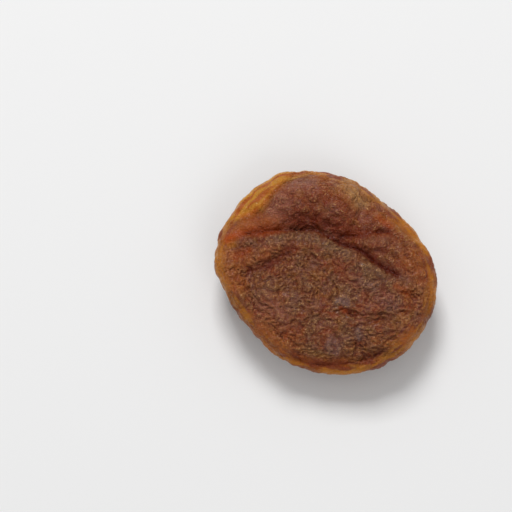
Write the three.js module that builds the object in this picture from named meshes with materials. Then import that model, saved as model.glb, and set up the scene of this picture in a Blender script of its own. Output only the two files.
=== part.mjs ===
// A whole dried apricot, pitted and unsulphured, lying flat on one cheek.
//
// The stone was squeezed out and the fruit dried as one piece, so it is one closed mesh: two cheeks pressed
// together into a blunt-edged disc, with the folds that the skin fell into, the lips round the slit that the
// stone left by, and puckers all over.
//
// Millimetres, +Z up. X runs to the right and Y to the back of the fruit, seen from above. The origin is on
// the surface that it lies on, under the middle of its outline.

import * as THREE from 'three';
import { ImprovedNoise } from 'three/addons/math/ImprovedNoise.js';
import { mergeVertices } from 'three/addons/utils/BufferGeometryUtils.js';

// Driving dimensions

// The outline seen from above, anticlockwise from the right.
const OUTLINE = [
  [20.8, 0], [19, 4.8], [16.1, 8.9], [12.6, 12.4], [8.8, 15.5], [4.4, 18.2], [-0.7, 19.9], [-5, 20.2],
  [-9.5, 19.4], [-13.7, 16.7], [-17, 12.7], [-20.1, 8], [-21, 2.7], [-20.5, -0.9], [-18.7, -5.2], [-15.4, -10.4],
  [-10.8, -14.8], [-6.2, -18], [-0.8, -19.8], [4, -20.1], [10.2, -18.6], [15.4, -15.2], [19, -10.6], [20.8, -5],
];
const TYPICAL_RADIUS = 20.5;

// The two cheeks. Height is measured from the rim's middle. A bluntness of 2 is an ellipse's edge, and more
// is blunter.
const UPPER_CHEEK = { height: 4.7, bluntness: 2.6 };
const LOWER_CHEEK = { height: 7, bluntness: 2.15 };
const FLAT_SPOT_DEPTH = 0.4; // how much of the lower cheek the surface has pressed flat
const TWIST = 0.8; // how far the disc's left and right edges rise, and its front and back edges drop
const FACES = 23; // the ball that the fruit is made from has 20 * (FACES + 1) ** 2 faces

// Folds and swellings. Each runs along a line, seen from above, and stands up from the skin by its height,
// so that a groove has a negative height. It fades out over its left and right widths, as seen by someone
// walking the line. Where it gathers, it has drawn the skin in from both sides by that share.
const UPPER_FOLDS = {
  upperLobe: { line: [[-12, 11], [-6, 13.2], [1, 13.2], [8, 10.8]], height: 2, left: 4, right: 4.2 },
  plateShoulder: { line: [[-13, 5], [-5, 4.8], [2, 3], [8, -0.5], [13, -4]], height: 0.9, left: 2, right: 4 },
  wedge: { line: [[5, 4.6], [9, 4], [14, 2]], height: 0.6, left: 1.6, right: 2 },
  greatCrease: {
    line: [[-18.4, 5.5], [-13, 6.8], [-4.2, 7.3], [-1.4, 6.9], [2.5, 4.8], [6.5, 3], [10.3, 0], [16.4, -3.2]],
    height: -0.9, left: 1.2, right: 1, gathers: 0.35,
  },
  greatValley: {
    line: [[-9, 8], [-4, 7.8], [-1, 7.3], [3.8, 4.4], [7.5, 2.8]],
    height: -1.1, left: 3.4, right: 1.2,
  },
  branchCrease: { line: [[1, 6.2], [6.4, 6.1], [10.5, 6.8], [13, 6.9]], height: -0.7, left: 1.2, right: 1.2 },
  smallCrease: { line: [[9, 3], [11.6, 2.3], [14.5, 1.2]], height: -0.4, left: 1, right: 1 },
  leftRidge: { line: [[-17.5, -0.4], [-14.6, 1.2], [-11, 3], [-5.5, 4.8]], height: 0.5, left: 1.4, right: 1.6 },
  leftValley: {
    line: [[-17, -2.4], [-14.4, -0.9], [-11, 0.1], [-7.7, 2.4], [-5, 3.4]],
    height: -0.6, left: 1.6, right: 1.3,
  },
  leftDimple: { line: [[-18.3, 2.8], [-14.6, 2.9], [-11, 4.8]], height: -0.4, left: 1, right: 1.1 },
  slit: {
    line: [[-18.6, 8.7], [-15.6, 9.6], [-12.2, 11.5], [-10.2, 14.2], [-7.8, 16.9], [-4.4, 18.2], [-1, 18.8]],
    height: -0.6, left: 1.2, right: 1, gathers: 0.3,
  },
  leftRim: {
    line: [[-19.2, 5], [-18.9, 0.5], [-17.2, -4.2], [-13.4, -10.4]],
    height: 0.8, left: 1.4, right: 1.6,
  },
  rimGroove: {
    line: [[-17, -0.8], [-15.5, -4.6], [-13.6, -8.4], [-10.4, -12], [-6.4, -15.2]],
    height: -0.6, left: 1, right: 1,
  },
  frontGroove: {
    line: [[-8, -16.2], [-3.4, -18.2], [2, -18.6], [7.6, -17.6], [12, -15.4]],
    height: -1.1, left: 1.3, right: 1.1,
  },
  rightFoldA: { line: [[14, -5.2], [18, -6.2]], height: -0.6, left: 1, right: 1 },
  rightFoldB: { line: [[9.4, -9.6], [14.4, -11.4]], height: -0.7, left: 1.2, right: 1 },
  scarFold: { line: [[2.2, -8.2], [3.4, -8.9], [6.2, -10.4]], height: -0.7, left: 1, right: 1 },
  frontFold: { line: [[5.2, -14.2], [7, -17]], height: -0.7, left: 1, right: 1 },
  lowPatch: { line: [[7, -13.4], [12.6, -12.6], [16, -9]], height: 0.6, left: 2, right: 2.4 },
};
const LOWER_FOLDS = {
  longFold: {
    line: [[-15, -5], [-9.6, -9.2], [0, -10.6], [9, -8.4], [14.5, -2]],
    height: -1.3, left: 1.8, right: 1.3,
  },
  backFold: { line: [[-12.6, 8], [-5, 11], [4, 10.6], [11, 6.4]], height: -1.2, left: 1.3, right: 1.9 },
  crossFold: { line: [[9.6, 8.6], [13, 11]], height: -0.8, left: 1.1, right: 1.1 },
  leftTuck: { line: [[-11, 1], [-15, 2.4], [-18.4, 1.6]], height: -1, left: 1.2, right: 1.2 },
  frontTuck: { line: [[-3, -12.4], [-2, -16.8]], height: -0.8, left: 1.1, right: 1.1 },
  rightTuck: { line: [[13.6, 3], [18.6, 2.2]], height: -0.8, left: 1.2, right: 1 },
};

const FOLD_TAPER = 0.22; // the share of a fold's length over which it fades in and out
const GATHER_WIDTH = 2.4; // how far to each side a fold draws the skin in
const RIM_FACING = [0.1, 0.5]; // how far the skin must face up or down for folds to start and to be whole

// Puckers all over: the size of one, its depth to the bottom of the furrows round it, and how far and how
// slowly the furrows wind. The noise that makes them has its tops at fullAt, and more roundness makes the
// furrows wider.
const PUCKERS = { size: 3.3, depth: 0.62, winding: 3.6, windingSize: 7.5, fullAt: 0.42, roundness: 0.75 };
const RIM_WAVER = { depth: 0.35, turns: 3.4 }; // how far the rim wavers in and out, and how often

const SKIN_BROWN = 0x6e4028;
const OUTLINE_STEPS = 720;
const PROFILE_STEPS = 2000;
const FOLD_STEPS = 12; // between two points of a fold's line

// Helpers

const noise = new ImprovedNoise();
const smooth = THREE.MathUtils.smoothstep;
const { lerp } = THREE.MathUtils;

// The outline's distance from the middle, as a function of the angle round it.
function makeOutline(points) {
  const corners = points.map(([x, y]) => new THREE.Vector3(x, y, 0));
  const curve = new THREE.CatmullRomCurve3(corners, true, 'centripetal');
  const marks = curve.getPoints(OUTLINE_STEPS).map(({ x, y }) => {
    return { angle: Math.atan2(y, x), radius: Math.hypot(x, y) };
  });
  marks.sort((a, b) => a.angle - b.angle);
  const first = marks[0];
  const last = marks[marks.length - 1];
  marks.unshift({ angle: last.angle - 2 * Math.PI, radius: last.radius });
  marks.push({ angle: first.angle + 2 * Math.PI, radius: first.radius });
  return (angle) => {
    const i = marks.findIndex((mark) => mark.angle > angle);
    const [a, b] = [marks[i - 1], marks[i]];
    return THREE.MathUtils.mapLinear(angle, a.angle, b.angle, a.radius, b.radius);
  };
}

// The section of a cheek, from its middle to the rim: how far it reaches, as a share of the outline's
// radius, and its height. It is read by a share of a ball's area, counted from the pole, and gives the same
// share of the cheek's own area, which keeps the faces even.
function makeProfile({ height: top, bluntness }) {
  const marks = [{ reach: 0, height: top, area: 0 }];
  for (let i = 1; i <= PROFILE_STEPS; i++) {
    const turn = (i / PROFILE_STEPS) * (Math.PI / 2);
    const reach = Math.sin(turn) ** (2 / bluntness);
    const height = top * Math.max(0, Math.cos(turn)) ** (2 / bluntness);
    const before = marks[i - 1];
    const stretch = Math.hypot(reach - before.reach, (height - before.height) / TYPICAL_RADIUS);
    marks.push({ reach, height, area: before.area + stretch * (reach + before.reach) });
  }
  const whole = marks[PROFILE_STEPS].area;
  return (share) => {
    const wanted = share * whole;
    let low = 0;
    let high = PROFILE_STEPS;
    while (high - low > 1) {
      const middle = (low + high) >> 1;
      if (marks[middle].area < wanted) low = middle;
      else high = middle;
    }
    const [a, b] = [marks[low], marks[high]];
    const t = THREE.MathUtils.clamp((wanted - a.area) / (b.area - a.area), 0, 1);
    return { reach: lerp(a.reach, b.reach, t), height: lerp(a.height, b.height, t) };
  };
}

// A fold with its line made smooth, ready to be measured from.
function smoothFold(fold) {
  const curve = new THREE.SplineCurve(fold.line.map(([x, y]) => new THREE.Vector2(x, y)));
  return { ...fold, points: curve.getSpacedPoints(FOLD_STEPS * (fold.line.length - 1)) };
}

// The way from a fold's line to x, y: the offset from its nearest point, the side, and how strong the fold
// is there. It tapers to nothing at both ends of its line.
function wayFrom(fold, x, y) {
  const { points } = fold;
  const last = points.length - 1;
  const found = { distance: Infinity };
  for (let i = 0; i < last; i++) {
    const a = points[i];
    const run = { x: points[i + 1].x - a.x, y: points[i + 1].y - a.y };
    const from = { x: x - a.x, y: y - a.y };
    const t = THREE.MathUtils.clamp((from.x * run.x + from.y * run.y) / (run.x ** 2 + run.y ** 2), 0, 1);
    const offset = { x: from.x - t * run.x, y: from.y - t * run.y };
    const distance = Math.hypot(offset.x, offset.y);
    if (distance < found.distance) {
      const along = (i + t) / last;
      const onLeft = run.x * from.y - run.y * from.x > 0;
      const strength = smooth(Math.min(along, 1 - along), 0, FOLD_TAPER);
      Object.assign(found, { offset, distance, onLeft, strength });
    }
  }
  return found;
}

// How far a fold lifts the skin at x, y.
function liftOf(fold, x, y) {
  const { distance, onLeft, strength } = wayFrom(fold, x, y);
  return fold.height * strength * Math.exp(-((distance / (onLeft ? fold.left : fold.right)) ** 2));
}

// Draws a point of the skin in towards a fold that gathers.
function gather(fold, at) {
  const { offset, distance, strength } = wayFrom(fold, at.x, at.y);
  const share = fold.gathers * strength * Math.exp(-((distance / GATHER_WIDTH) ** 2));
  at.x -= share * offset.x;
  at.y -= share * offset.y;
}

// Puckers: rounded tops parted by furrows, which run where a noise crosses zero. The noise is read at a
// place that a slower one has pushed about, so that the furrows wind.
function puckerAt(point) {
  const slow = point.clone().divideScalar(PUCKERS.windingSize);
  const drift = new THREE.Vector3(
    noise.noise(slow.x + 11.3, slow.y, slow.z),
    noise.noise(slow.x, slow.y + 17.9, slow.z),
    noise.noise(slow.x, slow.y, slow.z + 23.1),
  );
  const at = point.clone().addScaledVector(drift, PUCKERS.winding).divideScalar(PUCKERS.size);
  const ripple = Math.abs(noise.noise(at.x, at.y, at.z));
  return PUCKERS.depth * (Math.min(1, ripple / PUCKERS.fullAt) ** PUCKERS.roundness - 0.5);
}

// The fruit

// Two plain cheeks with the outline, the rim and the twist of the whole disc, and no folds yet.
function makeCheeks() {
  const ball = new THREE.IcosahedronGeometry(1, FACES);
  ball.deleteAttribute('normal');
  ball.deleteAttribute('uv');
  const cheeks = mergeVertices(ball, 1e-5);
  const radiusAt = makeOutline(OUTLINE);
  const upperProfile = makeProfile(UPPER_CHEEK);
  const lowerProfile = makeProfile(LOWER_CHEEK);
  const place = cheeks.getAttribute('position');
  for (let i = 0; i < place.count; i++) {
    const n = new THREE.Vector3().fromBufferAttribute(place, i).normalize();
    const angle = Math.atan2(n.y, n.x);
    const { reach, height } = (n.z > 0 ? upperProfile : lowerProfile)(1 - Math.abs(n.z));
    const round = new THREE.Vector2(Math.cos(angle), Math.sin(angle));
    const waver = RIM_WAVER.depth * noise.noise(RIM_WAVER.turns * round.x, RIM_WAVER.turns * round.y, 2.5);
    const radius = radiusAt(angle) * reach + waver * reach ** 2;
    const twist = TWIST * Math.cos(2 * angle) * reach ** 2;
    place.setXYZ(i, radius * round.x, radius * round.y, Math.sign(n.z) * height + twist);
  }
  return cheeks;
}

// Lifts every point of the skin along its own normal by the folds of its cheek and by the puckers.
function foldSkin(cheeks) {
  const folds = {
    upper: Object.values(UPPER_FOLDS).map(smoothFold),
    lower: Object.values(LOWER_FOLDS).map(smoothFold),
  };
  const gathering = folds.upper.filter((fold) => fold.gathers);
  cheeks.computeVertexNormals();
  const place = cheeks.getAttribute('position');
  const normals = cheeks.getAttribute('normal');
  for (let i = 0; i < place.count; i++) {
    const at = new THREE.Vector3().fromBufferAttribute(place, i);
    const normal = new THREE.Vector3().fromBufferAttribute(normals, i);
    if (normal.z > 0) gathering.forEach((fold) => gather(fold, at));
    const facing = smooth(Math.abs(normal.z), ...RIM_FACING);
    const lifts = (normal.z > 0 ? folds.upper : folds.lower).map((fold) => liftOf(fold, at.x, at.y));
    const lift = facing * lifts.reduce((sum, one) => sum + one, 0) + puckerAt(at);
    place.setXYZ(i, at.x + normal.x * lift, at.y + normal.y * lift, at.z + normal.z * lift);
  }
  cheeks.deleteAttribute('normal');
  return cheeks;
}

// Stands the fruit on z = 0, pressed flat where it rests, with the middle of its outline over the origin.
function setDown(fruit) {
  fruit.computeBoundingBox();
  const { min, max } = fruit.boundingBox;
  fruit.translate(-(min.x + max.x) / 2, -(min.y + max.y) / 2, -min.z - FLAT_SPOT_DEPTH);
  const place = fruit.getAttribute('position');
  for (let i = 0; i < place.count; i++) place.setZ(i, Math.max(0, place.getZ(i)));
  fruit.computeVertexNormals();
  return fruit;
}

const apricot = new THREE.Mesh(
  setDown(foldSkin(makeCheeks())),
  new THREE.MeshStandardMaterial({ color: SKIN_BROWN, roughness: 0.5, metalness: 0 }),
);
apricot.name = 'apricot';

const fruit = new THREE.Group();
fruit.add(apricot);

export default fruit;
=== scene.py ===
# %% [markdown]
# # A dried apricot
#
# This lesson dresses one imported solid, a whole apricot that was dried without its stone, until it looks like
# the real fruit. The solid already has the outline, the thickness, the folds and the puckers. What is missing
# is what the eye sees from near by: the sharp bottoms of the creases, the fine wrinkles of the skin, and a
# finish that is dull and brown where the skin is thick and golden where light comes through it.
#
# The first cell loads the solid and prints the size of its box.

# %% Load the imported solid
import math

import bpy
import numpy as np
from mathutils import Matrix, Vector, noise


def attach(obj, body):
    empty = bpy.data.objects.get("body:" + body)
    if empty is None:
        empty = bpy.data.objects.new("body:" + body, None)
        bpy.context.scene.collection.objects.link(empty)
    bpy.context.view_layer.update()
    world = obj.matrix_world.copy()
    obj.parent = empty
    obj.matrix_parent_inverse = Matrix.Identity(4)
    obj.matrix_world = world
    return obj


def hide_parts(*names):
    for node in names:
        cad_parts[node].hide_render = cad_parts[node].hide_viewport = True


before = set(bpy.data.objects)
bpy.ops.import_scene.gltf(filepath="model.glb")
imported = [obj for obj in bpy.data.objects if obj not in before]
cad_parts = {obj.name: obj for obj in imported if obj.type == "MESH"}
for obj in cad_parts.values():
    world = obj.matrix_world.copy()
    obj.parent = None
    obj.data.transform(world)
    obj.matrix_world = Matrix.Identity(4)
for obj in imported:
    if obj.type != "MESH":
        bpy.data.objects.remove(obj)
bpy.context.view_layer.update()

MM = 0.001
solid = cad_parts["apricot"]
print("solid:", len(solid.data.polygons), "faces,", [round(side / MM, 1) for side in solid.dimensions], "mm")

# %% [markdown]
# ## A place to look at it
#
# The fruit lies on a pale table under soft studio lamps. In the picture that it is made after, it is seen
# almost from straight above, from about 75 degrees up, through a long lens. A camera could be turned by eye
# until the view fits. Here its place is worked out from what can be judged in a picture: how high the eye is,
# how far away, and how wide a strip of the table it sees. The aim point is a little to the left of the fruit
# and behind it, which puts the fruit to the right of the middle, as in the picture.

# %% Set up the camera
PICTURE_WIDTH = 99.6 * MM
EYE_HEIGHT = math.radians(75)
EYE_DISTANCE = 450 * MM
AIM = Vector((-13.45, 3.2, 5.5)) * MM

bpy.ops.object.camera_add()
camera = bpy.context.active_object
camera.location = AIM + EYE_DISTANCE * Vector((0, -math.cos(EYE_HEIGHT), math.sin(EYE_HEIGHT)))
camera.rotation_euler = (math.pi / 2 - EYE_HEIGHT, 0, 0)
camera.data.sensor_width = 36
camera.data.lens = 36 * EYE_DISTANCE / PICTURE_WIDTH
bpy.context.scene.camera = camera
print("lens:", round(camera.data.lens), "mm")

# %% [markdown]
# A soft lamp stands behind the fruit, high up, as a window or a softbox would. It leaves the front slopes of
# the folds in shade and draws a thin line of light along the back rim. A lamp in front would light the folds
# flat, so the one there is weak and wide, and only keeps the shade open. The pale world fills the rest.

# %% Hang the lamps
def hang_lamp(name, place, size, watts):
    """Hangs a square soft lamp at a place in millimetres, turned to the fruit."""
    bpy.ops.object.light_add(type="AREA", location=Vector(place) * MM)
    lamp = bpy.context.active_object
    lamp.name = name
    lamp.data.size = size * MM
    lamp.data.energy = watts
    lamp.rotation_euler = (-lamp.location).to_track_quat("-Z", "Y").to_euler()


hang_lamp("back_softbox", place=(-130, 700, 840), size=420, watts=8)
hang_lamp("front_fill", place=(360, -840, 760), size=640, watts=2)
world = bpy.context.scene.world or bpy.data.worlds.new("studio")
bpy.context.scene.world = world
world.use_nodes = True
world.node_tree.nodes["Background"].inputs["Color"].default_value = (1, 1, 1, 1)
world.node_tree.nodes["Background"].inputs["Strength"].default_value = 0.4
bpy.context.scene.view_settings.view_transform = "Standard"

# %% [markdown]
# ## Shader maths that reads as maths
#
# A material is a web of nodes, and wiring it by hand takes many lines. Here one small class wraps the outlet of
# a node. Sums, differences and products of such outlets add their Math nodes by themselves, so that a mask is
# written as the formula that it is. Every other kind of node comes from one method of the material.

# %% Wrap a node's outlet
class Outlet:
    """The outlet of a node, with arithmetic."""

    def __init__(self, finish, socket):
        self.finish = finish
        self.socket = socket

    def join(self, operation, *values):
        """One Math node. Its inlets take the values in their order."""
        return self.finish.node("Math", {"operation": operation}, dict(enumerate(values)))

    def __add__(self, other):
        return self.join("ADD", self, other)

    __radd__ = __add__

    def __sub__(self, other):
        return self.join("SUBTRACT", self, other)

    def __rsub__(self, other):
        return self.join("SUBTRACT", other, self)

    def __mul__(self, other):
        return self.join("MULTIPLY", self, other)

    __rmul__ = __mul__

    def between(self, low, high):
        """0 at low, 1 at high and a soft slope between. With low above high it falls."""
        ends = {"Value": self, "From Min": low, "From Max": high}
        return self.finish.node("MapRange", {"interpolation_type": "SMOOTHSTEP"}, ends)


print("outlets can be added, taken from each other and multiplied")

# %% [markdown]
# A finish is a material that is being built. Its method for nodes takes the kind of the node, its settings, and
# what goes in at its sockets. The other methods are for what this fruit needs often: one colour over another,
# blotches, and numbers that are kept on the mesh.

# %% Build a finish
class Finish:
    """A material that is being built."""

    def __init__(self, name):
        self.material = bpy.data.materials.new(name)
        self.material.use_nodes = True
        self.nodes = self.material.node_tree.nodes
        self.nodes.clear()

    def node(self, kind, settings=None, sockets=None, outlet=0):
        """Adds a node. Its settings are made first, and then its sockets get their values or links."""
        made = self.nodes.new("ShaderNode" + kind)
        for name, value in (settings or {}).items():
            setattr(made, name, value)
        for name, value in (sockets or {}).items():
            if isinstance(value, Outlet):
                self.material.node_tree.links.new(value.socket, made.inputs[name])
            else:
                made.inputs[name].default_value = value
        return Outlet(self, made.outputs[outlet]) if made.outputs else made

    def mix(self, share, plain, other):
        """One colour over another, by a share from 0 to 1."""
        return self.node("Mix", {"data_type": "RGBA"}, {0: share, 6: plain, 7: other}, outlet=2)

    def blotches(self, across, detail=2.0, roughness=0.5, shift=0.0):
        """A smooth random number from 0 to 1 whose blotches are so many millimetres across."""
        here = self.node("TexCoord", outlet="Object")
        moved = self.node("VectorMath", {"operation": "ADD"}, {0: here, 1: (shift, shift, shift)})
        look = {"Vector": moved, "Scale": 1 / (across * MM), "Detail": detail, "Roughness": roughness}
        return self.node("TexNoise", None, look)

    def painted(self, name):
        """A number that was worked out for every point of the mesh and kept there under a name."""
        return self.node("Attribute", {"attribute_name": name}, outlet="Fac")


print("finishes can mix colours, draw blotches and read painted numbers")

# %% [markdown]
# Colours are easiest to judge as a screen shows them, from 0 to 255, but a shader wants amounts of light. A
# screen's grey of half its range is only about a fifth of its light, so each colour is turned into light first.

# %% Turn a screen's colour into light
def colour(red, green, blue):
    """A colour given as a screen shows it, from 0 to 255, as the light that it stands for."""
    shares = [part / 255 for part in (red, green, blue)]
    return [share / 12.92 if share < 0.04 else ((share + 0.055) / 1.055) ** 2.4 for share in shares] + [1]


print("half grey as light:", round(colour(128, 128, 128)[0], 2))

# %% [markdown]
# ## The table
#
# One big pale plane. It is stage and not part of the fruit. A backdrop that curves up behind it would hide the
# edge of the table, but the camera looks down and doesn't see that edge. The plane is matt, so that the shadow
# stays soft and nothing is mirrored.

# %% Lay the table
bpy.ops.mesh.primitive_plane_add(size=3)
table = bpy.context.active_object
table.name = "table"
pale = Finish("pale_table")
pale_look = {"Base Color": colour(241, 241, 241), "Roughness": 0.9, "Specular IOR Level": 0.1}
pale.node("OutputMaterial", None, {"Surface": pale.node("BsdfPrincipled", None, pale_look)})
table.data.materials.append(pale.material)
print("table:", [round(side, 1) for side in table.dimensions], "m")

# %% [markdown]
# ## The skin, fine enough for wrinkles
#
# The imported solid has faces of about 0.8 mm, and a wrinkle is about 1 mm across, so the skin starts from a
# finer copy of the solid. The copy's faces are loose triangles, so its doubles are merged first. Subdividing
# would keep the long triangles long. A voxel remesh gives even faces, a little over 0.2 mm wide, and a
# smoothing takes the old facets out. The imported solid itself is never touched.

# %% Copy the solid and remesh it
def only(piece):
    """Selects one object, alone, and makes it the active one."""
    bpy.ops.object.select_all(action="DESELECT")
    piece.select_set(True)
    bpy.context.view_layer.objects.active = piece


def finish_with(piece, kind, **settings):
    """Adds a modifier, sets it and applies it."""
    only(piece)
    modifier = piece.modifiers.new(kind.lower(), kind)
    for name, value in settings.items():
        setattr(modifier, name, value)
    bpy.ops.object.modifier_apply(modifier=modifier.name)


FACE_SIZE = 0.228 * MM
SAME_PLACE = 0.001 * MM

fruit = bpy.data.objects.new("dried_apricot", solid.data.copy())
bpy.context.scene.collection.objects.link(fruit)
only(fruit)
bpy.ops.object.mode_set(mode="EDIT")
bpy.ops.mesh.select_all(action="SELECT")
bpy.ops.mesh.remove_doubles(threshold=SAME_PLACE)
bpy.ops.object.mode_set(mode="OBJECT")
merged = len(fruit.data.vertices)
finish_with(fruit, "REMESH", mode="VOXEL", voxel_size=FACE_SIZE)
finish_with(fruit, "SMOOTH", factor=0.5, iterations=14)
print("merged to", merged, "points, remeshed to", len(fruit.data.polygons), "faces")

# %% [markdown]
# ## Distances over the skin
#
# The skin now has tens of thousands of points. A loop over them is slow, so what they need is worked out for
# all of them at once, in arrays. All places are in millimetres, with X to the right and Y to the back.

# %% Read the points of the skin
def places_of(piece):
    """The places of a mesh's points, in millimetres."""
    flat = np.empty(3 * len(piece.data.vertices))
    piece.data.vertices.foreach_get("co", flat)
    return flat.reshape(-1, 3) / MM


def normals_of(piece):
    """The directions that a mesh's points face."""
    flat = np.empty(3 * len(piece.data.vertices))
    piece.data.vertices.foreach_get("normal", flat)
    return flat.reshape(-1, 3)


print("height:", round(float(places_of(fruit)[:, 2].max()), 2), "mm")

# %% [markdown]
# Creases, lips and stains all run along lines that can be drawn on the fruit as seen from above. A line is a
# smooth curve through a few knots. This cell turns it into numbers for every point of the skin: how far the
# point is from the line, to which side of it, and how far along it.

# %% Measure from a line
def smooth_line(knots, steps=8):
    """Points along a curve through all the knots."""
    knots = np.array(knots, float)
    knots = np.vstack([2 * knots[0] - knots[1], knots, 2 * knots[-1] - knots[-2]])
    t = np.linspace(0, 1, steps, endpoint=False)[:, None]
    spans = []
    for a, b, c, d in zip(knots, knots[1:], knots[2:], knots[3:]):
        bend = (2 * a - 5 * b + 4 * c - d) * t**2 + (3 * b - a - 3 * c + d) * t**3
        spans.append(b + 0.5 * ((c - a) * t + bend))
    return np.vstack(spans + [knots[-2:-1]])


def way_from(knots, places, reach):
    """How far each place is to the left of a line, below 0 for the right, and how far along it, from 0 to 1.
    Places further than reach are not measured and count as very far."""
    line = smooth_line(knots)
    low, high = line.min(0) - reach, line.max(0) + reach
    near = np.flatnonzero(((places[:, :2] > low) & (places[:, :2] < high)).all(1))
    here = places[near, :2]
    nearest = np.full(len(near), np.inf)
    side = np.ones(len(near))
    along = np.zeros(len(near))
    for i, (start, end) in enumerate(zip(line, line[1:])):
        run = end - start
        t = np.clip((here - start) @ run / (run @ run), 0, 1)
        gap = here - start - t[:, None] * run
        distance = np.hypot(gap[:, 0], gap[:, 1])
        nearer = distance < nearest
        nearest[nearer] = distance[nearer]
        side[nearer] = np.sign(run[0] * gap[nearer, 1] - run[1] * gap[nearer, 0])
        along[nearer] = (i + t[nearer]) / (len(line) - 1)
    distances = np.full(len(places), 1e3)
    shares = np.zeros(len(places))
    distances[near] = nearest * np.where(side == 0, 1, side)
    shares[near] = along
    return distances, shares


def soft_step(low, high, values):
    """0 at low, 1 at high and a soft slope between."""
    t = np.clip((values - low) / (high - low), 0, 1)
    return t * t * (3 - 2 * t)


def streak(knots, width, places, fade=0.2):
    """1 on a line, falling softly to 0 over its width and over both its ends."""
    distance, along = way_from(knots, places, 3 * width)
    return np.exp(-((distance / width) ** 2)) * soft_step(0, fade, np.minimum(along, 1 - along))


middle = streak([[-15, 0], [15, 0]], 1, places_of(fruit))
print("points near a line across the middle:", int((middle > 0.5).sum()))

# %% [markdown]
# ## The sharp bottoms of the creases
#
# Where dried skin folds over, the fold closes to a line that is much sharper than its slopes. The solid has the
# slopes. Edges cut along the bottom would show as straight cuts. A Displace modifier without a texture, held to
# a painted group of points, does better: it presses them in along their normals by one depth times their
# weight. The weight falls away to both sides of a line like a tent with a round top.
#
# Each crease has its line, its depth as a share of the full one, and its width in millimetres. The right part
# of the great crease is deeper and is listed again. Where two meet, the deeper one counts.

# %% Press the creases
GREAT_CREASE = [
    [-18.4, 5.3], [-13, 6.6], [-4.2, 7.1], [-1.4, 6.7], [2.5, 4.6], [6.5, 2.8], [10.3, -0.2], [16.4, -3.4],
]
LIP_CREASE = [[-18.6, 8.5], [-15.6, 9.4], [-12.2, 11.3], [-10.2, 14], [-7.8, 16.7], [-4.4, 18], [-1, 18.6]]
CREASES = {
    "great": (GREAT_CREASE, 0.6, 0.35),
    "great, right part": (GREAT_CREASE[3:], 0.9, 0.35),
    "lip": (LIP_CREASE, 0.4, 0.25),
    "branch": ([[1, 6], [6.4, 5.9], [10.5, 6.6], [13, 6.7]], 0.7, 0.3),
    "under the branch": ([[9, 2.8], [11.6, 2.1], [14.5, 1]], 0.4, 0.26),
    "front groove": ([[-8, -16.4], [-3.4, -18.4], [2, -18.8], [7.6, -17.8], [12, -15.6]], 0.5, 0.3),
    "left valley": ([[-17, -2.6], [-14.4, -1.1], [-11, -0.1], [-7.7, 2.2], [-5, 3.2]], 0.3, 0.4),
    "right rim": ([[14, -5.4], [18, -6.4]], 0.3, 0.26),
    "right front": ([[9.4, -9.8], [14.4, -11.6]], 0.25, 0.26),
    "plate": ([[2.2, -8.4], [3.4, -9.1], [6.2, -10.6]], 0.4, 0.24),
    "front": ([[5.2, -14.4], [7, -17.2]], 0.3, 0.26),
}
CREASE_DEPTH = 0.5 * MM


def tent(distance, width):
    """1 on a line, falling away to both sides, with a round top."""
    return np.exp(-(np.sqrt((distance / width) ** 2 + 0.15) - 0.39))


def paint_group(piece, name, weights):
    """Paints a group of points. A modifier can be held to it."""
    group = piece.vertex_groups.new(name=name)
    for i in np.flatnonzero(weights > 0.004):
        group.add([int(i)], float(weights[i]), "REPLACE")


places = places_of(fruit)
upper = soft_step(0.1, 0.45, normals_of(fruit)[:, 2])
pressed = np.zeros(len(places))
for knots, depth, width in CREASES.values():
    distance, along = way_from(knots, places, 6 * width)
    ends = soft_step(0, 0.18, np.minimum(along, 1 - along))
    pressed = np.maximum(pressed, depth * tent(distance, width) * ends)
paint_group(fruit, "creases", pressed * upper)
finish_with(fruit, "DISPLACE", vertex_group="creases", strength=-CREASE_DEPTH, mid_level=0)
print("points pressed in:", int((pressed * upper > 0.05).sum()))

# %% [markdown]
# ## Wrinkles
#
# A drying skin shrinks less than the flesh under it, so it buckles, and all its wrinkles are about equally
# wide. Sculpting thousands of them takes days, and a plain noise texture has blotches but no ridges. So they
# are grown. Each point starts with a random height. A round takes a slightly blurred copy less a more blurred
# one, which keeps what is about as wide as a wrinkle, and squashes it to between -1 and 1. After a few rounds
# the heights have settled into ridges and furrows.
#
# Numbers spread along the mesh's edges, so the wrinkles follow the skin over the rim and into the creases.
# Where the skin is pulled, they spread more easily along the pull, which draws the wrinkles out.

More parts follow.
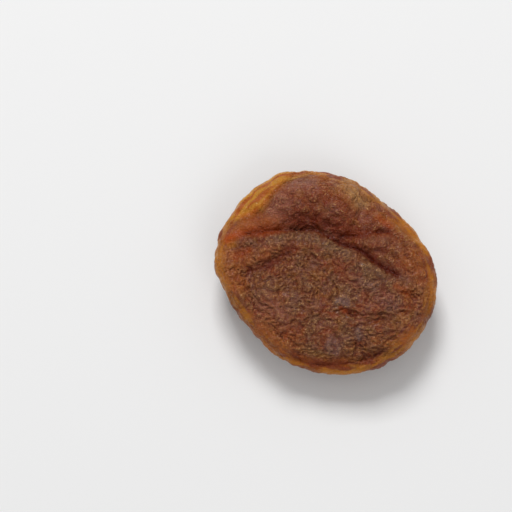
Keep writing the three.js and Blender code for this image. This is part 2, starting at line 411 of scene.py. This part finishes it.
# %% Let numbers spread over the skin
class Skin:
    """The web of edges of a mesh, for working out how numbers spread over it."""

    def __init__(self, piece, pull=None, across=1.0):
        """A pull is a direction for every point. Across it, numbers spread by only a share of their ease."""
        ends = np.empty(2 * len(piece.data.edges), np.int32)
        piece.data.edges.foreach_get("vertices", ends)
        self.a, self.b = ends.reshape(-1, 2).T
        self.count = len(piece.data.vertices)
        places = places_of(piece)
        runs = places[self.b] - places[self.a]
        lengths = np.linalg.norm(runs, axis=1)
        self.step = float(lengths.mean())
        self.ease = np.ones(len(runs))
        if pull is not None:
            pulls = pull[self.a] + pull[self.b]
            pulls /= np.linalg.norm(pulls, axis=1, keepdims=True) + 1e-9
            match = ((runs * pulls).sum(1) / (lengths + 1e-9)) ** 2
            self.ease = across + (1 - across) * match
        ways = np.bincount(self.a, minlength=self.count) + np.bincount(self.b, minlength=self.count)
        self.reach = 4 / self.step**2 / ways

    def bend(self, heights):
        """How far the neighbours of each point lie above it, as a second slope per square millimetre."""
        flow = self.ease * (heights[self.b] - heights[self.a])
        return self.reach * (np.bincount(self.a, flow, self.count) - np.bincount(self.b, flow, self.count))

    def blur(self, values, radius):
        """Spreads a number over the skin by about a radius in millimetres."""
        for _ in range(max(1, round((radius / self.step) ** 2))):
            values = values + 0.125 * self.step**2 * self.bend(values)
        return values

    def grow_wrinkles(self, spacing, rounds, seed):
        """Heights from -1 to 1 for wrinkles that are about so many millimetres apart. Two blurs of three
        eighths of that keep what is about as wide as a wrinkle."""
        heights = np.random.default_rng(seed).normal(0, 1, self.count)
        for _ in range(rounds):
            near = self.blur(heights, 0.375 * spacing)
            band = near - self.blur(near, 0.375 * spacing)
            heights = np.tanh(1.7 * band / band.std() - 0.15)
        return heights


plain = Skin(fruit)
print("points:", plain.count, "about", round(plain.step, 3), "mm apart")

# %% [markdown]
# Three kinds are grown: broad ones, nearly 2 mm apart, for the plate in the middle, coarser ones for the lobe
# behind the great crease, and fine ones that lie over both. Few rounds are run, because after many the wrinkles
# look as regular as a labyrinth. For the same reason a patchy noise lets the fine ones show where the broad
# ones are weak. The pull wanders from place to place, and near the front rim it runs from side to side.

# %% Grow the wrinkles
def noise_at(places, across, seed):
    """A smooth random number of about -1 to 1 at every place, whose blotches are so many millimetres across."""
    shift = Vector((seed, 2.3 * seed, 3.7 * seed))
    return np.array([noise.noise(Vector(place) / across + shift) for place in places])


places = places_of(fruit)
normals = normals_of(fruit)
pull = np.stack([noise_at(places, 3.0, seed) for seed in (1, 2, 3)], axis=1)
front = soft_step(-5, -11, places[:, 1]) * upper
pull = pull * (1 - front[:, None]) + front[:, None] * np.array([0.8, 0.1, 0])
stretched = Skin(fruit, pull, across=0.45)
broad = stretched.grow_wrinkles(spacing=1.9, rounds=4, seed=7)
fine = stretched.grow_wrinkles(spacing=1.15, rounds=3, seed=9)
coarse = plain.grow_wrinkles(spacing=2.4, rounds=4, seed=4)
patchy = np.clip(0.7 + 1.5 * noise_at(places, 1.7, 11), 0, 1.4)
beyond, _ = way_from(GREAT_CREASE, places, 60)
lobe = soft_step(-0.5, 2, beyond) * upper
rough_part = 0.75 * broad * (1.5 - patchy) * (1 - lobe) + 0.75 * coarse * lobe
fine_part = fine * patchy * (0.6 - 0.15 * lobe)
print("spread of the heights:", rough_part.std().round(2))

# %% [markdown]
# The wrinkles aren't equally deep. They are deepest on the broad plate in the middle, which is thick, and
# almost gone on the lip and along the rim, where two skins lie together and are drawn tight. A second Displace
# modifier raises them: the deepest furrow stays where it is, and the highest crest rises by the full height.

# %% Raise the wrinkles
SLICES = 240
WRINKLE_HEIGHT = 0.434 * MM


def gap_to_rim(places, turn):
    """How far each place is inside the outline. The outline is the farthest place in each thin slice."""
    away = np.hypot(places[:, 0], places[:, 1])
    slice_of = ((turn + math.pi) / (2 * math.pi) * SLICES).astype(int) % SLICES
    reaches = np.zeros(SLICES)
    np.maximum.at(reaches, slice_of, away)
    return reaches[slice_of] - away


turn = np.arctan2(places[:, 1], places[:, 0])
to_rim = gap_to_rim(places, turn)
outward, along = way_from(LIP_CREASE, places, 6)
lip_ends = soft_step(0, 0.08, along) * soft_step(0, 0.35, 1 - along)
lip = soft_step(-0.2, 0.7, outward) * lip_ends * (outward < 100) * upper
drawn = streak([[-20, 6.6], [-15.6, 7.5], [-11, 8.4], [-7, 9.4]], 1.5, places)
facing = normals[:, 2]
thin = soft_step(2.8, 0.6, to_rim) * soft_step(-0.9, -0.1, facing)
tight = np.maximum.reduce([lip, drawn, thin])
swells = 0.3 * noise_at(places, 2.2, 5)
wrinkles = (rough_part + swells) * (1 - 0.9 * tight) + fine_part * (1 - 0.4 * tight)
paint_group(fruit, "wrinkles", np.clip(0.5 + 0.36 * wrinkles, 0, 1))
finish_with(fruit, "DISPLACE", vertex_group="wrinkles", strength=WRINKLE_HEIGHT, mid_level=0)
print("share of the skin drawn tight:", round(float(tight.mean()), 3))

# %% [markdown]
# The fruit lies on its flat spot, so nothing may stick out below it. Points that the wrinkles pushed through
# the table are set back on it.

# %% Set it back on the table
places = places_of(fruit)
below = int((places[:, 2] < 0).sum())
places[:, 2] = np.maximum(places[:, 2], 0)
fruit.data.vertices.foreach_set("co", (places * MM).ravel())
fruit.data.update()
print("points set back:", below)

# %% [markdown]
# ## What the finish needs to know
#
# The colour follows the shape: furrows and the bottoms of creases get painted shade, and crests are pale, partly
# rubbed and dusty and partly painted highlight. So a few numbers are kept for every point of the mesh, for the
# material to read: how high it stands on its wrinkle, how far it stands out of the skin around it, and how near
# it is to the bottom of a crease. They could be baked to images, but a number at a point needs no unwrapping.

# %% Keep the relief for the finish
def paint_skin(piece, name, values):
    """Keeps a number from 0 to 1 for every point, for the material to read."""
    kept = piece.data.attributes.new(name, "FLOAT", "POINT")
    kept.data.foreach_set("value", np.clip(values, 0, 1).astype(np.float32))
    print(name, "mean", round(float(np.clip(values, 0, 1).mean()), 3))


def height_over(radius, places, normals):
    """How far each point stands out of the skin when that is blurred by so many millimetres."""
    blurred = np.stack([plain.blur(column, radius) for column in places.T], axis=1)
    return ((places - blurred) * normals).sum(1)


places = places_of(fruit)
normals = normals_of(fruit)
relief = height_over(1.6, places, normals)
crest = height_over(0.35, places, normals)
creased = np.zeros(len(places))
for knots, depth, width in CREASES.values():
    near = streak(knots, 2.3 * width, places, fade=0.12)
    creased = np.maximum(creased, min(1, 1.2 * depth) * near)

paint_skin(fruit, "wrinkle", 0.5 + 0.4 * plain.blur(wrinkles, 0.25))
paint_skin(fruit, "relief", 0.5 + relief / 1.2)
paint_skin(fruit, "crest", 0.5 + 0.22 * crest / crest.std())
paint_skin(fruit, "crease", creased * upper)

# %% [markdown]
# The rim is thin, so light that goes in comes out again and it glows. It is fibrous too: a noise that is
# stretched out along the rim gives fibres half a millimetre wide and several long. A thin line on the back rim,
# where the skin bends away and would catch the lamp, gets a painted highlight. The lobe, the lip and the tight
# parts are kept as they were worked out for the wrinkles.

# %% Keep the rim for the finish
RIM_RADIUS = 20
FIBRE_LENGTH = 4.5
FIBRE_SLIMNESS = 9

along_rim = np.stack([turn * RIM_RADIUS, FIBRE_SLIMNESS * to_rim, 0 * turn], axis=1)
paint_skin(fruit, "strand", 0.5 + 0.7 * noise_at(along_rim, FIBRE_LENGTH, 31))
facing = normals[:, 2]
thickness = np.maximum(0, to_rim + 0.8 * noise_at(places, 3, 21))
paint_skin(fruit, "rim", np.exp(-thickness / 1.9) * (0.25 + 0.75 * soft_step(-0.7, 0.2, facing)))
# Painted highlight: a thin line on the back rim, where the skin bends away.
edge = np.exp(-((facing - 0.3) / 0.14) ** 2) * soft_step(1.5, 0.3, to_rim)
paint_skin(fruit, "edge", edge * soft_step(-4, 6, places[:, 1]))
paint_skin(fruit, "lobe", lobe)
paint_skin(fruit, "lip", lip)
paint_skin(fruit, "tight", tight)

# %% [markdown]
# ## Stains
#
# Some parts of the skin dried faster or were rubbed, and have another colour. They could be painted with a
# brush in Blender, but strokes that are written down can be moved and tried again. Each stain has its colour,
# how patchy it is, and its strokes. A stroke is a line on the fruit, its width in millimetres and its strength.
# The lilac-grey bloom is partly the skin's own and partly a painted sheen.

# %% Draw the stains
STAINS = {
    "warm": ((156, 80, 26), 0.4, [
        ([[-19, 6.6], [-15.4, 7.8], [-11.4, 8.8], [-8, 9.2]], 1.2, 0.8),
        ([[-18.8, 4.4], [-18.6, -1], [-16.8, -6.4]], 2.6, 0.7),
        ([[-16.4, -0.2], [-14.6, 0.7], [-11, 2.2], [-7, 3.7]], 1.2, 0.8),
        ([[-14.6, -9.4], [-10, -14.4], [-4, -17]], 2.4, 0.6),
        ([[14.6, 4], [17.4, -1], [16.8, -8]], 2.4, 0.5),
        ([[-2, 14], [4, 13], [10, 9]], 2.0, 0.3),
    ]),
    "dull": ((98, 73, 53), 0.4, [
        ([[-12, 4.6], [-8.6, 5.2], [-3, 5], [2.4, 2.6], [7.6, -0.4]], 1.6, 0.75),
        ([[5, 1.2], [9, -2], [12, -5]], 2.6, 0.4),
        ([[6, 4.4], [10, 4.7], [13, 4.2]], 0.9, 0.5),
    ]),
    "pink": ((148, 88, 70), 0.4, [
        ([[-12, 10], [-9.4, 11.4], [-6, 12.4]], 2.2, 0.8),
        ([[-8, 14.6], [-4.6, 15.8], [-1, 15.4]], 1.8, 0.6),
        ([[-13.6, -5], [-10.4, -8.6], [-6, -10.4]], 2.6, 0.5),
        ([[-1.6, 9.6], [1, 9.4]], 1.0, 0.4),
        ([[2, -1], [6, -4], [10, -6]], 1.6, 0.3),
    ]),
    "tan": ((168, 120, 66), 0.4, [
        ([[2.4, 17.6], [4.8, 15.6], [6.6, 13], [7.6, 10.6]], 1.9, 1.0),
        ([[9, 15.2], [13, 11.6]], 1.1, 0.6),
        ([[-4, -17], [0, -17.4]], 0.8, 0.5),
        ([[12, -12], [15.4, -10]], 1.3, 0.35),
    ]),
    # A lilac-grey bloom, partly the skin's own and partly a painted sheen.
    "bloom_and_sheen": ((114, 92, 92), 0.5, [
        ([[4, -3], [8, -4.4], [11, -5.4]], 1.2, 0.3),
        ([[1.2, -7.1], [3.2, -7.6], [4.6, -8.2]], 0.8, 0.8),
        ([[-0.6, -15], [1.4, -15.8], [3, -16.6]], 1.5, 0.7),
        ([[5.6, -12], [6.4, -15]], 0.7, 0.8),
        ([[8.6, -6], [11.6, -7.4], [14.4, -8.6]], 1.8, 0.4),
        ([[-7, 17], [-4, 16.6], [-1, 16]], 1.2, 0.3),
        ([[6.2, 12.6], [7.6, 11.2]], 0.8, 0.3),
    ]),
}


def strokes(lines, places):
    """The strongest of several strokes at every place."""
    strongest = np.zeros(len(places))
    for knots, width, strength in lines:
        strongest = np.maximum(strongest, strength * streak(knots, width, places))
    return strongest


on_top = soft_step(-0.5, 0.2, normals[:, 2])
for name, (_, _, lines) in STAINS.items():
    paint_skin(fruit, name, strokes(lines, places) * on_top)

# %% [markdown]
# The marks of light and shade on the clear skin are drawn in the same way: a painted highlight along the lip
# crease, painted shade over the red-brown of the hollows, the gold of the thin skin with a painted glow in it,
# and the orange of light glowing through the folds, painted as well. They are kept apart from the stains,
# because they are clear and not dusty, and so they go over the grain.

# %% Draw the painted light and shade
LIGHT_AND_SHADE_MARKS = {
    # Painted highlight along the lip crease.
    "seam": ((226, 172, 96), 0.3, [
        ([[-17.6, 8.8], [-14, 10.4], [-12.3, 11.4], [-10.7, 13.4], [-9.2, 15.3]], 0.28, 0.7),
        ([[-8, 17], [-5.3, 18.4], [-2.5, 19]], 0.3, 0.5),
    ]),
    # Painted shade over the red-brown of the flesh, in the hollows and on the lobe's front slope.
    "hollow": ((104, 27, 2), 0.3, [
        ([[-9, 8.1], [-4, 8.9], [0.6, 8.0], [4, 6.0]], 1.7, 0.75),
        ([[-0.6, 12], [1, 11.8]], 1.3, 0.5),
        ([[-16, -2], [-14.4, -1.1], [-11, -0.1], [-7.7, 2.2], [-5.6, 3]], 0.8, 0.6),
        ([[-18, 2.8], [-14.6, 2.7], [-11.6, 4]], 0.8, 0.4),
        ([[1.6, 5.2], [6.5, 3], [10.3, 0], [15.4, -2.8]], 0.6, 0.7),
        ([[2, 6.2], [6, 6.5], [10, 7.2]], 0.9, 0.5),
    ]),
    # The gold of the thin skin, with the glow of light through it painted in.
    "gold": ((190, 118, 22), 0.3, [
        ([[-18.4, 9.0], [-15.6, 9.9], [-12.4, 11.8], [-10.4, 14.4], [-8, 17], [-6, 18]], 0.8, 0.7),
        ([[-20.6, 6.6], [-20.8, 2], [-20, -3.6], [-17.6, -8.4]], 0.9, 0.7),
        ([[-18.4, -7.6], [-13.6, -13.6], [-8.4, -17.8]], 0.9, 0.6),
        ([[-9, -18.6], [-3, -20.2], [3, -20.4]], 0.8, 0.45),
        ([[13, 10.6], [17.6, 6], [20.4, 1.4]], 0.8, 0.8),
        ([[20.8, 0], [20.8, -5], [18.6, -11]], 0.7, 0.5),
        ([[-18.6, 5.2], [-18, 3.2]], 0.9, 0.5),
    ]),
    # Painted glow: the orange of light coming through the flesh in the folds.
    "ember": ((170, 70, 2), 0.2, [
        ([[-20.4, 4], [-18, 5.6], [-14.6, 6.6], [-11, 6.8], [-6, 7.2]], 0.9, 1.0),
        ([[-18.6, 1.2], [-16.4, 2.2], [-13.4, 3.2]], 0.9, 0.4),
        ([[-17, 9.3], [-14.4, 10.4], [-12.4, 11.6]], 0.8, 0.7),
        ([[-12.6, 11.2], [-10.5, 13.9], [-8.1, 16.6]], 0.5, 0.6),
        ([[9.6, 10.2], [11.4, 8.6], [13.2, 7.0]], 0.7, 0.55),
        ([[3, 6.1], [8, 6.2], [13, 6.8]], 0.5, 0.5),
        ([[12.4, -3.8], [14.6, -5.0], [16.4, -6.2]], 0.8, 0.5),
        ([[-8, -16.9], [-2.4, -18.4], [2, -18.7], [6, -18.1]], 0.8, 0.5),
        ([[-16, -11.5], [-13, -14.5], [-9.6, -17.2]], 0.8, 0.5),
        ([[2.2, -8.5], [3.2, -8.9], [4.2, -9.3]], 0.4, 0.9),
        ([[17.5, -12], [14, -15.4]], 0.8, 0.4),
    ]),
}

for name, (_, _, lines) in LIGHT_AND_SHADE_MARKS.items():
    paint_skin(fruit, name, strokes(lines, places) * on_top)

# %% [markdown]
# ## The finish
#
# Dried without sulphur, the skin turns from orange to a dull brown. One material does it all, built up as a
# painter would: the ground, the painted glow of the rim, the stains, the painted shade and highlights of the
# wrinkles, the dust, and last the painted light and shade of the clear skin. The ground is a red-brown with
# blotches of grey, olive and lilac, a few millimetres wide.

# %% Mix the ground
skin_finish = Finish("dried_skin")
red = skin_finish.blotches(3.6, detail=3, roughness=0.6, shift=0.02)
grey = skin_finish.blotches(4.2, detail=3, roughness=0.6, shift=0.04)
olive = skin_finish.blotches(2.8, detail=3, roughness=0.6, shift=0.06)
lilac = skin_finish.blotches(2.6, detail=3, roughness=0.6, shift=0.08)
lobe_share = skin_finish.painted("lobe")

look = skin_finish.mix(red.between(0.42, 0.58), colour(120, 48, 18), colour(106, 54, 28))
look = skin_finish.mix(grey.between(0.48, 0.62) * 0.6, look, colour(108, 74, 52))
look = skin_finish.mix(lobe_share * 0.6, look, colour(126, 46, 17))
look = skin_finish.mix(olive.between(0.52, 0.66) * 0.5, look, colour(126, 76, 18))
look = skin_finish.mix(lilac.between(0.5, 0.66) * 0.5, look, colour(120, 74, 66))
print("nodes in the ground:", len(skin_finish.nodes))

# %% [markdown]
# The glow of the rim could come from light that really scatters through the fruit, but that is slow and hard to
# steer. An amber colour that grows towards the rim, in brown and golden fibres, looks the same. The stains
# follow.

# %% Add the glow and the stains
strand = skin_finish.painted("strand")
rim = skin_finish.painted("rim")
glow = rim * (0.58 + 0.38 * strand.between(0.3, 0.7))
fibres = (0.4 * olive + 0.6 * strand).between(0.4, 0.6)
amber = skin_finish.mix(fibres, colour(140, 58, 4), colour(192, 120, 20))
look = skin_finish.mix(glow, look, amber)


def stained(look, stains):
    """A colour with stains over it, each of them thinner in some places than in others."""
    for name, (hue, patchiness, _) in stains.items():
        share = skin_finish.painted(name) * (1 - patchiness + patchiness * olive.between(0.35, 0.65))
        look = skin_finish.mix(share, look, colour(*hue))
    return look


look = stained(look, STAINS)
print("nodes with the glow and the stains:", len(skin_finish.nodes))

# %% [markdown]
# Between the wrinkles of the mesh lie still finer ones, half a millimetre to a millimetre apart. As faces they
# would be too many, so they are a pattern in the material: where a noise passes its middle value, it draws a
# thin winding line. The coordinates are made to stray first, so that no line runs straight.

# %% Draw the finest crinkles
def wander(across, shift):
    """Coordinates in metres that stray by about so many millimetres."""
    here = skin_finish.node("TexCoord", outlet="Object")
    look = {"Vector": here, "Scale": 1 / (2.2 * across * MM), "Detail": 1.0}
    stray = skin_finish.node("TexNoise", None, look, outlet="Color")
    strength = 1.1 * across * MM
    drift = {0: stray, 1: (strength, strength, strength), 2: here}
    moved = skin_finish.node("VectorMath", {"operation": "MULTIPLY_ADD"}, drift)
    return skin_finish.node("VectorMath", {"operation": "ADD"}, {0: moved, 1: (shift, shift, shift)})


def crinkle(across, thin, shift):
    """Thin, winding ridges about so many millimetres apart: 1 on a ridge."""
    look = {"Vector": wander(across, shift), "Scale": 1 / (across * MM), "Detail": 1.5, "Roughness": 0.5}
    ripple = skin_finish.node("TexNoise", None, look)
    return (ripple - 0.5).join("ABSOLUTE", ripple - 0.5).between(thin, 0)


ridges = 0.6 * crinkle(0.9, 0.08, 0.047) + 0.4 * crinkle(0.5, 0.1, 0.013)
print("nodes with the crinkles:", len(skin_finish.nodes))

# %% [markdown]
# Light and shade alone leave the wrinkles too even, so the numbers that were kept for the relief steer the
# colour too. The broad hollows, the furrows and the finest furrows get painted shade over a red-brown. The
# crests and the finest ridges are pale, partly rubbed and partly painted highlight. A grain of dark and pale
# specks is the skin's own, and the palest specks on the crests are partly a dust of sugar and partly painted
# glints. Where the skin is drawn tight, it is smoother and has less of all this.

# %% Colour the wrinkles
wrinkle = skin_finish.painted("wrinkle")
relief_share = skin_finish.painted("relief")
crest_share = skin_finish.painted("crest")
rugged = 1 - 0.6 * skin_finish.painted("tight")
grain = skin_finish.blotches(0.24, detail=1, shift=0.1)

# Painted shade: darker in the broad hollows, in the furrows and in the finest furrows.
look = skin_finish.mix(relief_share.between(0.47, 0.15) * 0.4, look, colour(100, 30, 4))
look = skin_finish.mix(wrinkle.between(0.5, 0.1) * 0.3, look, colour(92, 28, 4))
look = skin_finish.mix(crest_share.between(0.48, 0.12) * 0.55, look, colour(74, 20, 3))
# Pale crests and fine ridges, partly rubbed and partly painted highlight.
look = skin_finish.mix(crest_share.between(0.56, 0.9) * 0.33 * rugged, look, colour(178, 124, 78))
look = skin_finish.mix(ridges.between(0.3, 1) * 0.14 * rugged, look, colour(184, 132, 80))
look = skin_finish.mix(grain.between(0.48, 0.2) * 0.4 * rugged, look, colour(80, 24, 4))
look = skin_finish.mix(grain.between(0.52, 0.8) * 0.36 * rugged, look, colour(188, 134, 74))
# The palest specks on the crests, partly a dust of sugar and partly painted glints.
sugar_and_glints = grain.between(0.62, 0.7) * grey.between(0.42, 0.6) * wrinkle.between(0.35, 0.7)
look = skin_finish.mix(sugar_and_glints * 0.7 * rugged, look, colour(208, 164, 108))
print("nodes with the wrinkles:", len(skin_finish.nodes))

# %% [markdown]
# The lip is the thinnest skin of all and clear, so its gold, with the glow of light through it painted in, goes
# over the dust, and so do the other marks of light and shade on the clear skin, the painted shade in the
# bottoms of the creases and the painted highlight along the back rim.

# %% Colour the lip and the creases
lip_share = skin_finish.painted("lip")
crease = skin_finish.painted("crease")
back_rim_highlight = skin_finish.painted("edge")

# The lip's gold, with the glow of light through the thin skin painted in.
lip_gold = skin_finish.mix(fibres, colour(174, 88, 6), colour(198, 136, 38))
look = skin_finish.mix(lip_share * 0.75, look, lip_gold)
look = stained(look, LIGHT_AND_SHADE_MARKS)
# Painted shade in the bottoms of the creases, dark red-brown.
look = skin_finish.mix(crease * 0.8, look, colour(82, 16, 0))
# Painted highlight along the back rim.
look = skin_finish.mix(back_rim_highlight * 0.48, look, colour(222, 170, 104))
print("nodes with the lip and the creases:", len(skin_finish.nodes))

# %% [markdown]
# The shader is last. Dried skin is a little sticky, so it has a soft shine, and most of it where it glows. A
# little light scatters under the surface, which keeps the shade from going black. The finest crinkles feed the
# bump.

# %% Put the finish on the fruit
bump = skin_finish.node("Bump", None, {"Strength": 1.0, "Distance": 0.14 * MM, "Height": ridges})
skin_look = {
    "Base Color": look,
    "Roughness": 0.36 - 0.06 * glow,
    "Normal": bump,
    "Subsurface Weight": 0.08,
    "Subsurface Radius": (1.0, 0.4, 0.1),
    "Subsurface Scale": 0.6 * MM,
    "Specular IOR Level": 0.24,
}
shader = skin_finish.node("BsdfPrincipled", None, skin_look)
skin_finish.node("OutputMaterial", None, {"Surface": shader})
fruit.data.materials.clear()
fruit.data.materials.append(skin_finish.material)
only(fruit)
bpy.ops.object.shade_smooth()
print("nodes in all:", len(skin_finish.nodes))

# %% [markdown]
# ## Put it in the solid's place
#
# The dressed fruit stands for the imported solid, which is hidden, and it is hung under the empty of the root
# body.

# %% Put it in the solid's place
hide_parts("apricot")
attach(fruit, "root")
